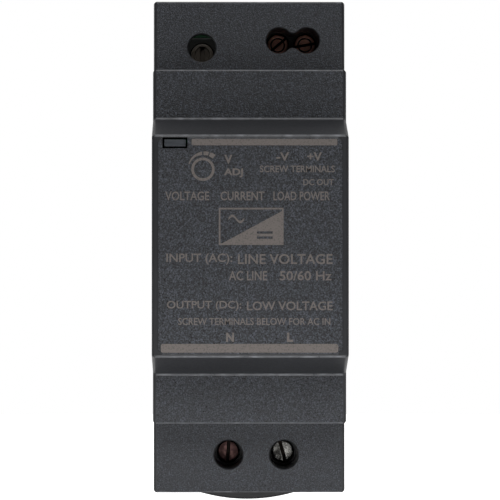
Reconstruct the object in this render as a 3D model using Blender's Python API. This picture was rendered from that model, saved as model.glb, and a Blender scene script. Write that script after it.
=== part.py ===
"""A DIN rail power supply: a two-module stepped housing that clips onto a 35 mm top hat rail.

Frame: +Z up, -Y towards the user, +X to the user's right. The origin is the centre of the flat
face that rests on the rail. Every length below is in millimetres and every angle in degrees; the
mesh helpers turn millimetres into Blender's metres.
"""

import math

import bmesh
import bpy
from mathutils import Matrix, Vector

MM = 0.001

# Housing: the size of a two-module device, and the stepped front in side view.
CASE_WIDTH = 35.0
CASE_HEIGHT = 90.0
REAR_Y = 5.0  # back of the case, behind the face that rests on the rail
DEPTH = 54.5
NOSE_Y = REAR_Y - DEPTH  # front panel
SHOULDER_Y = REAR_Y - 36.5  # terminal shoulders
STEP_Y = REAR_Y - 43.65  # steps between the shoulders and the nose
STEP_Z = 32.05  # half height of the steps
NOSE_BASE_Z = 23.05  # half height of the nose where it leaves the steps
NOSE_FACE_Z = 19.7  # half height of the front panel
SPLIT_Y = -3.5  # parting line between the front housing and the rear base
WALL = 1.8
SIDE_WALL = 1.7
EDGE = 0.45  # rounding of the outside edges
GAP = 0.3  # between touching pieces

HALF_WIDTH = CASE_WIDTH / 2
HALF_HEIGHT = CASE_HEIGHT / 2
INNER_X = HALF_WIDTH - SIDE_WALL
INNER_Z = HALF_HEIGHT - WALL

# Rail seat, hook and latch, around a 35 mm rail with 1 mm flanges.
RAIL_HALF = 17.5
SEAT_HALF = 15.7  # the flat seat stops short of both hooks
CHANNEL_TOP = RAIL_HALF + 0.2
CHANNEL_BOTTOM = -RAIL_HALF - 0.4
SEAT_THICKNESS = 2.0
HOOK_GAP = 1.35  # room for the rail's flange
HOOK_REACH = 1.5  # how far each hook passes behind the flange
LATCH_HALF_WIDTH = 8.9
LATCH_RIB_HALF_WIDTH = 7.1
LATCH_FLOOR_Y = 1.2
LATCH_LIP_Y = 3.8  # underside of the lips that hold the latch in
FOOT_BOTTOM_Z = -48.6
FOOT_HALF_WIDTH = 11.0
FOOT_RADIUS = 32.5
SPRING_TOP_Z = -26.0
SPRING_BOTTOM_Z = -38.5
SPRING_RADIUS = 1.35
SPRING_WIRE = 0.4
SPRING_Y = 3.2
SPRING_TURNS = 7

# Snap tabs of the rear base and their windows in the front housing.
TAB_Z = 13.0
TAB_HALF = 3.5
TAB_INNER_X = 14.3
TAB_OUTER_X = 15.5
TAB_TIP_Y = -10.5

# Circuit board and what stands on it.
BOARD_REAR_Y = -5.6
BOARD_THICKNESS = 1.6
BOARD_FRONT_Y = BOARD_REAR_Y - BOARD_THICKNESS
BOARD_HALF_X = 15.2
BOARD_HALF_Z = 42.6
SEAT_Y = BOARD_FRONT_Y - GAP  # underside of the pieces that stand on the board
PIN_TIP_Y = BOARD_REAR_Y + 1.0
PIN_HALF = 0.4
HOLE_HALF = 0.75

# Terminals: screw centres and the holes that a screwdriver reaches them through.
POLE_PITCH = 5.08
OUTPUT_X = 8.01
OUTPUT_Z = 37.85
INPUT_X = 1.29
INPUT_Z = -38.05
OUTPUT_HOLE = 4.7
INPUT_HOLE = 5.25
HOLE_BRIDGE = 2.65  # height of the slot that joins the two output holes
TRIMMER_X = -8.68
TRIMMER_Z = 36.5
TRIMMER_HOLE = 5.1
SLEEVE_WALL = 1.0
BLOCK_TOP_Y = -21.5
SLEEVE_END_Y = BLOCK_TOP_Y - 0.5
CHAMBER_HALF_X = 2.2
CHAMBER_HALF_Z = 2.75
CHAMBER_TOP_Y = -17.4
CHAMBER_FLOOR_Y = -8.1
ENTRY_LOW_Y = -8.5
ENTRY_HIGH_Y = -13.1
BLOCK_FRONT_Z = 5.15  # wire side of a terminal block, from the screw axis
BLOCK_BACK_Z = -5.4
HEAD_TOP_Y = -20.0
HEAD_UNDER_Y = -18.3
HEAD_RADIUS = 1.95
SHANK_RADIUS = 1.45
SHANK_TIP_Y = -13.3
BAR_TOP_Y = -13.0
BAR_UNDER_Y = -12.2
CAGE_HALF_X = 1.9
CAGE_HALF_Z = 2.4

# Status window in the front panel.
WINDOW_X = (-15.6, -11.15)
WINDOW_Z = (17.35, 19.3)

# Vent slots beside the wire entries, in the top and the bottom face.
VENT_WIDTH = 1.5
VENT_PITCH = 3.0
VENT_Y = (-27.5, -11.0)

# The coil former of the transformer, from the transformer's own centre line.
TRANSFORMER_X = -2.4
TRANSFORMER_Z = 4.5


# ---------------------------------------------------------------- mesh helpers


def box(low, high):
    """A block between two corners."""
    low, high = Vector(low), Vector(high)
    bm = bmesh.new()
    matrix = Matrix.Translation((low + high) / 2 * MM) @ Matrix.Diagonal((*((high - low) * MM), 1))
    bmesh.ops.create_cube(bm, size=1, matrix=matrix)
    return bm


def prism(outline, axis, start, end):
    """A flat outline extruded along an axis. Outline points are (y, z), (x, z) or (x, y)."""
    bm = bmesh.new()

    def place(first, second):
        point = {"X": (start, first, second), "Y": (first, start, second), "Z": (first, second, start)}
        return Vector(point[axis]) * MM

    face = bm.faces.new([bm.verts.new(place(*point)) for point in outline])
    moved = bmesh.ops.extrude_face_region(bm, geom=[face])["geom"]
    shift = Vector([end - start if name == axis else 0 for name in "XYZ"]) * MM
    bmesh.ops.translate(bm, vec=shift, verts=[v for v in moved if isinstance(v, bmesh.types.BMVert)])
    bmesh.ops.recalc_face_normals(bm, faces=bm.faces)
    return bm


def rod(x, z, radius, start, end, segments=32):
    """A round rod along Y."""
    turns = [2 * math.pi * i / segments for i in range(segments)]
    ring = [(x + radius * math.cos(t), z + radius * math.sin(t)) for t in turns]
    return prism(ring, "Y", start, end)


def lathe(profile, segments=24, closed=False):
    """A shape turned about Y. Profile points are (radius, y); a closed profile makes a ring."""
    bm = bmesh.new()
    verts = [bm.verts.new(Vector((radius, y, 0)) * MM) for radius, y in profile]
    pairs = list(zip(verts, verts[1:])) + ([(verts[-1], verts[0])] if closed else [])
    edges = [bm.edges.new(pair) for pair in pairs]
    bmesh.ops.spin(
        bm, geom=verts + edges, cent=(0, 0, 0), axis=(0, 1, 0), angle=2 * math.pi, steps=segments
    )
    bmesh.ops.remove_doubles(bm, verts=bm.verts, dist=1e-6)
    bmesh.ops.recalc_face_normals(bm, faces=bm.faces)
    return bm


def together(*shapes):
    """Several shapes as one bmesh, for a cutter or an addition."""
    joined = bmesh.new()
    for shape in shapes:
        mesh = bpy.data.meshes.new("scratch")
        shape.to_mesh(mesh)
        joined.from_mesh(mesh)
        bpy.data.meshes.remove(mesh)
    return joined


def rounded(shape, width, segments=2):
    """The shape with every sharp edge rounded."""
    bmesh.ops.bevel(
        shape, geom=shape.edges[:], offset=width * MM, segments=segments, profile=0.5, affect="EDGES"
    )
    return shape


def as_object(name, shape):
    """A bmesh as an object in the scene."""
    mesh = bpy.data.meshes.new(name)
    shape.to_mesh(mesh)
    shape.free()
    made = bpy.data.objects.new(name, mesh)
    bpy.context.scene.collection.objects.link(made)
    return made


def combine(target, operation, shape):
    """Adds a shape to the object, or cuts it away, and keeps the result as the object's mesh."""
    tool = as_object("tool", shape)
    modifier = target.modifiers.new(operation, "BOOLEAN")
    modifier.operation = operation
    modifier.solver = "EXACT"
    modifier.use_self = True
    modifier.object = tool
    bpy.context.view_layer.update()
    graph = bpy.context.evaluated_depsgraph_get()
    result = bpy.data.meshes.new_from_object(target.evaluated_get(graph))
    target.modifiers.clear()
    target.data = result
    tool_mesh = tool.data
    bpy.data.objects.remove(tool)
    bpy.data.meshes.remove(tool_mesh)


def finish(made, surface, at=(0, 0, 0), parent=None):
    """Gives a shaped object its material, its shading and its place."""
    made.data.name = made.name
    made.data.materials.clear()
    made.data.materials.append(surface)
    made.data.shade_smooth()
    made.data.set_sharp_from_angle(angle=math.radians(30))
    made.location = Vector(at) * MM
    made.parent = parent


def part(name, shape, surface, cuts=(), adds=(), at=(0, 0, 0), parent=None):
    """One sub-part: its first shape, then what is added, then what is cut away."""
    made = as_object(name, shape)
    for extra in adds:
        combine(made, "UNION", extra)
    for cutter in cuts:
        combine(made, "DIFFERENCE", cutter)
    finish(made, surface, at, parent)


def frame(name, at, turn=0.0):
    """An empty that pieces are placed by, turned about Y."""
    empty = bpy.data.objects.new(name, None)
    empty.location = Vector(at) * MM
    empty.rotation_euler = (0, math.radians(turn), 0)
    bpy.context.scene.collection.objects.link(empty)
    return empty


def material(name, colour, roughness, metallic=0.0):
    """A Principled BSDF with the piece's colour."""
    made = bpy.data.materials.new(name)
    made.use_nodes = True
    shader = made.node_tree.nodes["Principled BSDF"]
    shader.inputs["Base Color"].default_value = (*colour, 1)
    shader.inputs["Roughness"].default_value = roughness
    shader.inputs["Metallic"].default_value = metallic
    made.diffuse_color = (*colour, 1)
    return made


def pins(points, top, half=PIN_HALF):
    """Square solder pins from inside a piece, through the board."""
    return together(*[box((x - half, top, z - half), (x + half, PIN_TIP_Y, z + half)) for x, z in points])


# ------------------------------------------------------------------- housing


def stepped_outline(inset, rear_y):
    """The side view of the stepped front as (y, z) points, moved inwards by inset."""
    slope = (NOSE_BASE_Z - NOSE_FACE_Z) / (STEP_Y - NOSE_Y)
    nose_inset = inset * (math.hypot(1, slope) - slope)
    half = [
        (rear_y, HALF_HEIGHT - inset),
        (SHOULDER_Y + inset, HALF_HEIGHT - inset),
        (SHOULDER_Y + inset, STEP_Z - inset),
        (STEP_Y + inset, STEP_Z - inset),
        (STEP_Y + inset, NOSE_BASE_Z - nose_inset),
        (NOSE_Y + inset, NOSE_FACE_Z - nose_inset),
    ]
    return half + [(y, -z) for y, z in reversed(half)]


def poles(centre_x, centre_z, pitches):
    """The two screw centres of a terminal block."""
    return [(centre_x + side * pitches * POLE_PITCH / 2, centre_z) for side in (-1, 1)]


OUTPUT_POLES = poles(OUTPUT_X, OUTPUT_Z, 1)
INPUT_POLES = poles(INPUT_X, INPUT_Z, 2)


def screw_sleeves():
    """Guide tubes that lead a screwdriver from the shoulders down to the terminal blocks."""
    tubes = []
    for centres, bore in ((OUTPUT_POLES, OUTPUT_HOLE), (INPUT_POLES, INPUT_HOLE)):
        for x, z in centres:
            tubes.append(rod(x, z, bore / 2 + SLEEVE_WALL, SHOULDER_Y + WALL / 2, SLEEVE_END_Y))
    return tubes


def screw_bores():
    """The holes through the shoulders and their sleeves, with the slot between the output pair."""
    cuts = []
    for centres, bore in ((OUTPUT_POLES, OUTPUT_HOLE), (INPUT_POLES, INPUT_HOLE)):
        for x, z in centres:
            cuts.append(rod(x, z, bore / 2, SHOULDER_Y - 1, SLEEVE_END_Y + 1))
    (left, z), (right, _) = OUTPUT_POLES
    half = HOLE_BRIDGE / 2
    cuts.append(box((left, SHOULDER_Y - 1, z - half), (right, SLEEVE_END_Y + 1, z + half)))
    cuts.append(rod(TRIMMER_X, TRIMMER_Z, TRIMMER_HOLE / 2, SHOULDER_Y - 1, SHOULDER_Y + WALL + 1))
    return together(*cuts)


def wire_entries():
    """Openings in the top and bottom faces, one for each wire."""
    cuts = []
    for centres, side in ((OUTPUT_POLES, 1), (INPUT_POLES, -1)):
        for x, _ in centres:
            low, high = sorted((side * (INNER_Z - 1), side * (HALF_HEIGHT + 1)))
            cuts.append(box((x - CHAMBER_HALF_X, ENTRY_HIGH_Y, low), (x + CHAMBER_HALF_X, ENTRY_LOW_Y, high)))
    return together(*cuts)


def vent_slots():
    """Rows of round-ended slots in the top face and the bottom face, left of the wire entries."""
    cuts = []
    radius = VENT_WIDTH / 2
    steps = 6
    for side, first_x, count in ((1, -14.0, 5), (-1, -14.0, 2)):
        low, high = sorted((side * (INNER_Z - 1), side * (HALF_HEIGHT + 1)))
        for i in range(count):
            x = first_x + i * VENT_PITCH
            outline = []
            for end_y, turn in ((VENT_Y[1], 0), (VENT_Y[0], math.pi)):
                for k in range(steps + 1):
                    t = turn + math.pi * k / steps
                    outline.append((x + radius * math.cos(t), end_y + radius * math.sin(t)))
            cuts.append(prism(outline, "Z", low, high))
    return together(*cuts)


def snap_windows():
    """Openings in the side walls that the base's snap tabs catch in."""
    cuts = []
    for side in (-1, 1):
        low, high = sorted((side * (INNER_X - 1), side * (HALF_WIDTH + 1)))
        for z in (-TAB_Z, TAB_Z):
            cuts.append(box((low, TAB_TIP_Y - 0.1, z - TAB_HALF + 0.2), (high, -8.0, z + TAB_HALF - 0.2)))
    return together(*cuts)


def front_housing(plastic):
    outer = prism(stepped_outline(0, SPLIT_Y), "X", -HALF_WIDTH, HALF_WIDTH)
    cavity = prism(stepped_outline(WALL, SPLIT_Y + 1), "X", -INNER_X, INNER_X)
    shell = as_object("front_housing", rounded(outer, EDGE))
    combine(shell, "DIFFERENCE", cavity)
    for tube in screw_sleeves():
        combine(shell, "UNION", tube)
    window = box((WINDOW_X[0], NOSE_Y - 1, WINDOW_Z[0]), (WINDOW_X[1], STEP_Y + 0.65, WINDOW_Z[1]))
    for cutter in (screw_bores(), wire_entries(), vent_slots(), snap_windows(), window):
        combine(shell, "DIFFERENCE", cutter)
    finish(shell, plastic)


# ----------------------------------------------------- rear base, rail and latch


def base_cavities():
    """What is hollow in the base, seen from inside the case."""
    start = SPLIT_Y - 1
    side_x = LATCH_HALF_WIDTH + 2.1
    return together(
        box((-INNER_X, start, -16.0), (INNER_X, -SEAT_THICKNESS, 19.6)),
        box((-INNER_X, start, 19.5), (INNER_X, REAR_Y - WALL, INNER_Z)),
        box((-INNER_X, start, -INNER_Z), (INNER_X, -0.8, -15.9)),
        box((-INNER_X, -0.9, -INNER_Z), (-side_x, REAR_Y - WALL, -19.7)),
        box((side_x, -0.9, -INNER_Z), (INNER_X, REAR_Y - WALL, -19.7)),
    )


def rail_channel():
    """The channel across the back that takes the rail, with reliefs under both hooks."""
    wide = HALF_WIDTH + 1
    return together(
        box((-wide, 0, CHANNEL_BOTTOM), (wide, REAR_Y + 1, CHANNEL_TOP)),
        box((-wide, -0.4, SEAT_HALF), (wide, 0.1, CHANNEL_TOP)),
        box((-wide, -0.4, CHANNEL_BOTTOM), (wide, 0.1, -SEAT_HALF)),
    )


def latch_guide():
    """The T-shaped slot that the latch slides in, open at both ends."""
    low, high = -HALF_HEIGHT - 1, CHANNEL_BOTTOM + 1
    wide = LATCH_HALF_WIDTH + GAP
    narrow = LATCH_RIB_HALF_WIDTH + GAP
    return together(
        box((-wide, LATCH_FLOOR_Y, low), (wide, LATCH_LIP_Y, high)),
        box((-narrow, LATCH_LIP_Y - 0.1, low), (narrow, REAR_Y + 1, high)),
    )


def fixed_hook():
    """The lip that passes behind the rail's upper flange."""
    tip = RAIL_HALF - HOOK_REACH
    outline = [
        (HOOK_GAP, CHANNEL_TOP + 0.5),
        (HOOK_GAP, tip),
        (HOOK_GAP + 0.8, tip),
        (REAR_Y - 0.6, CHANNEL_TOP - 0.4),
        (REAR_Y - 0.6, CHANNEL_TOP + 0.5),
    ]
    return prism(outline, "X", -HALF_WIDTH + 1.2, HALF_WIDTH - 1.2)


def snap_tabs():
    """Four tabs with hooks, standing up from the side walls of the base."""
    shapes = []
    for side in (-1, 1):
        inner, outer = sorted((side * TAB_INNER_X, side * TAB_OUTER_X))
        root_low, root_high = sorted((side * TAB_INNER_X, side * (INNER_X + 0.8)))
        barb = [(TAB_OUTER_X - 0.2, -10.4), (16.9, -8.7), (16.9, -8.3), (TAB_OUTER_X - 0.2, -8.3)]
        for z in (-TAB_Z, TAB_Z):
            low, high = z - TAB_HALF, z + TAB_HALF
            shapes.append(box((inner, TAB_TIP_Y, low), (outer, -1.0, high)))
            shapes.append(box((root_low, SPLIT_Y + 0.3, low), (root_high, -1.0, high)))
            shapes.append(prism([(side * x, y) for x, y in barb], "Z", low + 0.6, high - 0.6))
    return shapes


def board_posts():
    """Posts that the circuit board rests on."""
    tip = BOARD_REAR_Y + GAP
    spots = [(12.6, 7.0, -SEAT_THICKNESS + 0.5), (12.6, 40.4, REAR_Y - WALL + 0.5)]
    posts = [rod(side * x, z, 1.4, tip, root, 16) for side in (-1, 1) for x, z, root in spots]
    posts += [rod(side * 12.6, -40.4, 1.4, tip, REAR_Y - WALL + 0.5, 16) for side in (-1, 1)]
    return posts


def rear_base(plastic):
    outer = box((-HALF_WIDTH, SPLIT_Y, -HALF_HEIGHT), (HALF_WIDTH, REAR_Y, HALF_HEIGHT))
    stop = box((-2.3, LATCH_FLOOR_Y - 0.5, SPRING_BOTTOM_Z - 2.0), (2.3, 4.5, SPRING_BOTTOM_Z))
    base = as_object("rear_base", rounded(outer, EDGE))
    for cutter in (base_cavities(), rail_channel(), latch_guide()):
        combine(base, "DIFFERENCE", cutter)
    for extra in [fixed_hook(), stop, *snap_tabs(), *board_posts()]:
        combine(base, "UNION", extra)
    finish(base, plastic)


def foot_outline():
    """The pull foot in rear view: straight sides and a bowed lower edge, as (x, z) points."""
    top = -HALF_HEIGHT - GAP
    centre_z = FOOT_BOTTOM_Z + FOOT_RADIUS
    half_angle = math.asin(FOOT_HALF_WIDTH / FOOT_RADIUS)
    steps = 12
    outline = [(-FOOT_HALF_WIDTH, top)]
    for i in range(steps + 1):
        t = half_angle * (2 * i / steps - 1)
        outline.append((FOOT_RADIUS * math.sin(t), centre_z - FOOT_RADIUS * math.cos(t)))
    return outline + [(FOOT_HALF_WIDTH, top)]


def rail_latch(plastic):
    """The sliding latch. Its origin lies on the line that it slides along."""
    top = CHANNEL_BOTTOM - 0.1
    bottom = -HALF_HEIGHT - 1.0
    floor = LATCH_FLOOR_Y + GAP
    slider = box((-LATCH_HALF_WIDTH, floor, bottom), (LATCH_HALF_WIDTH, LATCH_LIP_Y - GAP, top))
    rib = box(
        (-LATCH_RIB_HALF_WIDTH, floor + 0.5, bottom), (LATCH_RIB_HALF_WIDTH, REAR_Y - 0.2, top)
    )
    tip = -RAIL_HALF + HOOK_REACH
    hook = prism(
        [
            (HOOK_GAP, top - 0.5),
            (HOOK_GAP, tip),
            (HOOK_GAP + 0.8, tip),
            (REAR_Y - 0.6, top + 0.6),
            (REAR_Y - 0.6, top - 0.5),
        ],
        "X",
        -LATCH_RIB_HALF_WIDTH,
        LATCH_RIB_HALF_WIDTH,
    )
    foot = prism(foot_outline(), "Y", 0.8, REAR_Y - 0.2)
    spring_bay = box((-2.6, 0, SPRING_BOTTOM_Z - 2.3), (2.6, REAR_Y + 1, SPRING_TOP_Z))
    driver_slot = box((-3.2, 1.9, FOOT_BOTTOM_Z - 1), (3.2, 3.5, -HALF_HEIGHT + 1.5))
    part("rail_latch", slider, plastic, adds=[rib, hook, foot], cuts=[spring_bay, driver_slot])


def latch_spring(steel):
    """A compression spring with closed ends, between the base's stop and the latch."""
    per_turn = 12
    total = SPRING_TURNS * per_turn
    bottom = SPRING_BOTTOM_Z + GAP + SPRING_WIRE / 2
    top = SPRING_TOP_Z - GAP - SPRING_WIRE / 2
    closed_rise = 1.15 * SPRING_WIRE  # rise of each end turn
    curve = bpy.data.curves.new("latch_spring", "CURVE")
    curve.dimensions = "3D"
    curve.bevel_depth = SPRING_WIRE / 2 * MM
    curve.bevel_resolution = 1
    curve.use_fill_caps = True
    spline = curve.splines.new("POLY")
    spline.points.add(total)
    for i in range(total + 1):
        turn = i / per_turn
        if turn < 1:
            z = bottom + closed_rise * turn
        elif turn > SPRING_TURNS - 1:
            z = top - closed_rise * (SPRING_TURNS - turn)
        else:
            share = (turn - 1) / (SPRING_TURNS - 2)
            z = bottom + closed_rise + share * (top - bottom - 2 * closed_rise)
        angle = 2 * math.pi * turn
        x = SPRING_RADIUS * math.cos(angle)
        y = SPRING_Y + SPRING_RADIUS * math.sin(angle)
        spline.points[i].co = (x * MM, y * MM, z * MM, 1)
    curve.materials.append(steel)
    bpy.context.scene.collection.objects.link(bpy.data.objects.new("latch_spring", curve))


# ------------------------------------------------------------------ terminals


def terminal_block(name, parent, half_pitch, side_wall, plastic):
    """The plastic body of a two-pole terminal. Local +Z is the side that the wires come in."""
    half_x = half_pitch + CHAMBER_HALF_X + side_wall
    cuts = []
    for x in (-half_pitch, half_pitch):
        left, right = x - CHAMBER_HALF_X, x + CHAMBER_HALF_X
        cuts += [
            box((left, CHAMBER_TOP_Y, -CHAMBER_HALF_Z), (right, CHAMBER_FLOOR_Y, CHAMBER_HALF_Z)),
            box((left, ENTRY_HIGH_Y, CHAMBER_HALF_Z - 0.1), (right, ENTRY_LOW_Y, BLOCK_FRONT_Z + 1)),
            box((x - 1.4, BAR_TOP_Y - GAP, -4.7), (x + 1.4, SEAT_Y + 1, -CHAMBER_HALF_Z + 0.1)),
            rod(x, 0, SHANK_RADIUS + 0.2, -18.5, CHAMBER_TOP_Y + 0.5, 24),
            rod(x, 0, HEAD_RADIUS + 0.25, BLOCK_TOP_Y - 1, -18.0, 24),
        ]
    body = box((-half_x, BLOCK_TOP_Y, BLOCK_BACK_Z), (half_x, SEAT_Y, BLOCK_FRONT_Z))
    part(name, body, plastic, cuts=cuts, parent=parent)


def terminal_screw(name, parent, x, slot_turn, steel):
    """A slotted cheese-head screw; its origin lies on the axis that it turns about."""
    profile = [
        (0, HEAD_TOP_Y),
        (HEAD_RADIUS - 0.25, HEAD_TOP_Y),
        (HEAD_RADIUS, HEAD_TOP_Y + 0.25),
        (HEAD_RADIUS, HEAD_UNDER_Y),
        (SHANK_RADIUS, HEAD_UNDER_Y),
        (SHANK_RADIUS, SHANK_TIP_Y - 0.4),
        (SHANK_RADIUS - 0.4, SHANK_TIP_Y),
        (0, SHANK_TIP_Y),
    ]
    slot = box((-0.35, HEAD_TOP_Y - 1, -HEAD_RADIUS - 1), (0.35, HEAD_TOP_Y + 0.9, HEAD_RADIUS + 1))
    turn = Matrix.Rotation(math.radians(slot_turn), 3, "Y")
    bmesh.ops.rotate(slot, cent=(0, 0, 0), matrix=turn, verts=slot.verts)
    part(name, lathe(profile), steel, cuts=[slot], at=(x, 0, 0), parent=parent)


def terminal_cage(name, parent, x, steel):
    """The clamping frame that the screw draws up against the contact bar, shown fully open."""
    wall, floor_y, top_y = 0.35, -8.5, -14.6
    low, high = (-CAGE_HALF_X, top_y, -CAGE_HALF_Z), (CAGE_HALF_X, floor_y, CAGE_HALF_Z)
    opening = box(
        (-CAGE_HALF_X + wall, top_y + 1.2, -CAGE_HALF_Z - 1),
        (CAGE_HALF_X - wall, floor_y - 0.9, CAGE_HALF_Z + 1),
    )
    thread = rod(0, 0, SHANK_RADIUS + 0.15, top_y - 1, top_y + 2, 24)
    part(name, box(low, high), steel, cuts=[opening, thread], at=(x, 0, 0), parent=parent)


def terminal_contact(name, parent, x, copper):
    """The fixed contact bar inside the cage, bent down into its solder pin."""
    bar = box((-1.05, BAR_TOP_Y, -4.3), (1.05, BAR_UNDER_Y, 2.6))
    pin = box((-0.5, BAR_TOP_Y + 0.2, -4.3), (0.5, PIN_TIP_Y, -3.5))
    part(name, bar, copper, adds=[pin], at=(x, 0, 0), parent=parent)


def terminals(plastic, steel, copper):
    """Both terminal blocks with their screws, cages and contacts."""
    output = frame("output_terminal", (OUTPUT_X, 0, OUTPUT_Z))
    inlet = frame("input_terminal", (INPUT_X, 0, INPUT_Z), turn=180)
    terminal_block("output_terminal_block", output, POLE_PITCH / 2, 1.0, plastic)
    terminal_block("input_terminal_block", inlet, POLE_PITCH, 1.2, plastic)
    sets = [
        ("output", output, -POLE_PITCH / 2, "negative", 50),
        ("output", output, POLE_PITCH / 2, "positive", 80),
        ("input", inlet, POLE_PITCH, "neutral", 4),
        ("input", inlet, -POLE_PITCH, "line", -16),
    ]
    for block, parent, x, pole, slot_turn in sets:
        terminal_screw(f"{block}_screw_{pole}", parent, x, slot_turn, steel)
        terminal_cage(f"{block}_cage_{pole}", parent, x, steel)
        terminal_contact(f"{block}_contact_{pole}", parent, x, copper)


# --------------------------------------------------------- board and components


def contact_holes():
    """Where the terminals' solder pins pass through the board."""
    back = -3.9
    spots = [(x, z + back) for x, z in OUTPUT_POLES]
    return spots + [(x, z - back) for x, z in INPUT_POLES]


def leads(centre_x, centre_z, along_x, along_z):
    """Two lead positions on either side of a centre."""
    return [(centre_x + side * along_x, centre_z + side * along_z) for side in (-1, 1)]


LEADS = {
    "bulk_capacitor": leads(-5.9, -18.6, 3.75, 0),
    "output_capacitor_a": leads(-5.7, 21.3, 2.5, 0),
    "output_capacitor_b": leads(5.0, 21.3, 2.5, 0),
    "x_capacitor": leads(8.0, -29.0, 5.0, 0),
    "y_capacitor": leads(6.3, 29.3, 2.5, 0),
    "input_fuse": leads(-11.2, -30.6, 2.5, 0),
    "inrush_thermistor": leads(-10.0, -7.2, 2.5, 0),
    "output_inductor": leads(-1.5, 29.8, 0, 2.0),
    "optocoupler": leads(-8.6, 29.4, 2.1, 1.3) + leads(-8.6, 29.4, -2.1, 1.3),
    "bridge_rectifier": [(4.0, -16.5 + step) for step in (-5.4, -1.8, 1.8, 5.4)],
    "switching_transistor": [(12.0, 1.0 + step) for step in (-2.5, 0, 2.5)],
    "output_diode": [(12.0, 24.0 + step) for step in (-2.5, 0, 2.5)],
    "trimmer_body": leads(TRIMMER_X, TRIMMER_Z, 2.0, 2.0),
    "transformer_bobbin": [
        (TRANSFORMER_X + x, TRANSFORMER_Z + z) for z in (-6.7, 6.7) for x in (-6.0, -2.0, 2.0, 6.0)
    ],
}


def main_board(laminate):
    notch = 0.35
    front, rear = BOARD_FRONT_Y - 1, BOARD_REAR_Y + 1
    half = HOLE_HALF
    cuts = []
    for spots in [*LEADS.values(), contact_holes()]:
        cuts += [box((x - half, front, z - half), (x + half, rear, z + half)) for x, z in spots]
    for side in (-1, 1):
        inner, outer = sorted((side * (TAB_INNER_X - notch), side * (BOARD_HALF_X + 1)))
        for z in (-TAB_Z, TAB_Z):
            low, high = z - TAB_HALF - notch, z + TAB_HALF + notch
            cuts.append(box((inner, front, low), (outer, rear, high)))
    sheet = box((-BOARD_HALF_X, BOARD_FRONT_Y, -BOARD_HALF_Z), (BOARD_HALF_X, BOARD_REAR_Y, BOARD_HALF_Z))
    part("main_board", sheet, laminate, cuts=[together(*cuts)])


def middle_of(name):
    """The point midway between a component's two leads."""
    (x0, z0), (x1, z1) = LEADS[name]
    return (x0 + x1) / 2, (z0 + z1) / 2


def can(name, radius, height, sleeve):
    """An electrolytic capacitor standing on the board, with its crimped groove."""
    centre_x, centre_z = middle_of(name)
    top = SEAT_Y - height
    profile = [
        (0, top),
        (radius - 0.9, top),
        (radius, top + 0.6),
        (radius, SEAT_Y - 3.0),
        (radius - 0.5, SEAT_Y - 2.4),
        (radius, SEAT_Y - 1.8),
        (radius, SEAT_Y - 0.3),
        (radius - 0.4, SEAT_Y),
        (0, SEAT_Y),
    ]
    legs = pins(local_leads(name, centre_x, centre_z), SEAT_Y - 1)
    part(name, lathe(profile, 28), sleeve, adds=[legs], at=(centre_x, 0, centre_z))


def local_leads(name, centre_x, centre_z):
    """A component's leads, counted from its own centre line."""
    return [(x - centre_x, z - centre_z) for x, z in LEADS[name]]


def block(name, low, high, surface, pin_top=SEAT_Y - 0.6):
    """A moulded component with square pins; low and high are its corners."""
    centre_x, centre_z = (low[0] + high[0]) / 2, (low[2] + high[2]) / 2
    half_x, half_z = (high[0] - low[0]) / 2, (high[2] - low[2]) / 2
    body = rounded(box((-half_x, low[1], -half_z), (half_x, high[1], half_z)), 0.4, 1)
    legs = pins(local_leads(name, centre_x, centre_z), pin_top)
    part(name, body, surface, adds=[legs], at=(centre_x, 0, centre_z))


def disc(name, radius, thickness, surface):
    """A disc component standing on edge above its two leads, facing along Z."""
    centre_x, centre_z = middle_of(name)
    centre_y = SEAT_Y - 0.8 - radius
    turns = [2 * math.pi * i / 20 for i in range(20)]
    outline = [(radius * math.cos(t), centre_y + radius * math.sin(t)) for t in turns]
    body = rounded(prism(outline, "Z", -thickness / 2, thickness / 2), 0.5, 1)
    legs = pins(local_leads(name, centre_x, centre_z), centre_y)
    part(name, body, surface, adds=[legs], at=(centre_x, 0, centre_z))


def heat_sink(name, z_low, z_high, top_y, aluminium):
    """A bent aluminium plate along the side wall, 1.5 mm thick."""
    half_z = (z_high - z_low) / 2
    plate = box((-0.75, top_y, -half_z), (0.75, SEAT_Y, half_z))
    flange = box((-3.25, top_y, -half_z), (-0.45, top_y + 1.5, half_z))
    part(name, plate, aluminium, adds=[flange], at=(14.45, 0, (z_low + z_high) / 2))


def output_inductor(ferrite):
    """A drum core on end, with a waist where its wire is wound."""
    flange, waist, top = 3.3, 2.7, -17.0
    profile = [
        (0, top),
        (flange, top),
        (flange, top + 1.2),
        (waist, top + 1.6),
        (waist, SEAT_Y - 1.9),
        (flange, SEAT_Y - 1.5),
        (flange, SEAT_Y),
        (0, SEAT_Y),
    ]
    centre_x, centre_z = middle_of("output_inductor")
    legs = pins(local_leads("output_inductor", centre_x, centre_z), SEAT_Y - 1)
    part("output_inductor", lathe(profile, 20), ferrite, adds=[legs], at=(centre_x, 0, centre_z))


def line_choke(ferrite, plastic):
    """The toroidal line filter, standing on edge on its base."""
    ring_radius, coil_radius, base_height = 5.2, 2.3, 1.2
    centre_x, centre_z = 9.0, -17.2
    turns = [2 * math.pi * i / 10 for i in range(10)]
    section = [(ring_radius + coil_radius * math.cos(t), coil_radius * math.sin(t)) for t in turns]
    ring = lathe(section, closed=True)
    upright = Matrix.Rotation(math.pi / 2, 3, "Z")
    bmesh.ops.rotate(ring, cent=(0, 0, 0), matrix=upright, verts=ring.verts)
    centre_y = SEAT_Y - base_height - GAP - ring_radius - coil_radius
    part("line_choke_ring", ring, ferrite, at=(centre_x, centre_y, centre_z))
    plinth = box((-3.0, SEAT_Y - base_height, -6.5), (3.0, SEAT_Y, 6.5))
    part("line_choke_base", plinth, plastic, at=(centre_x, 0, centre_z))


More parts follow.
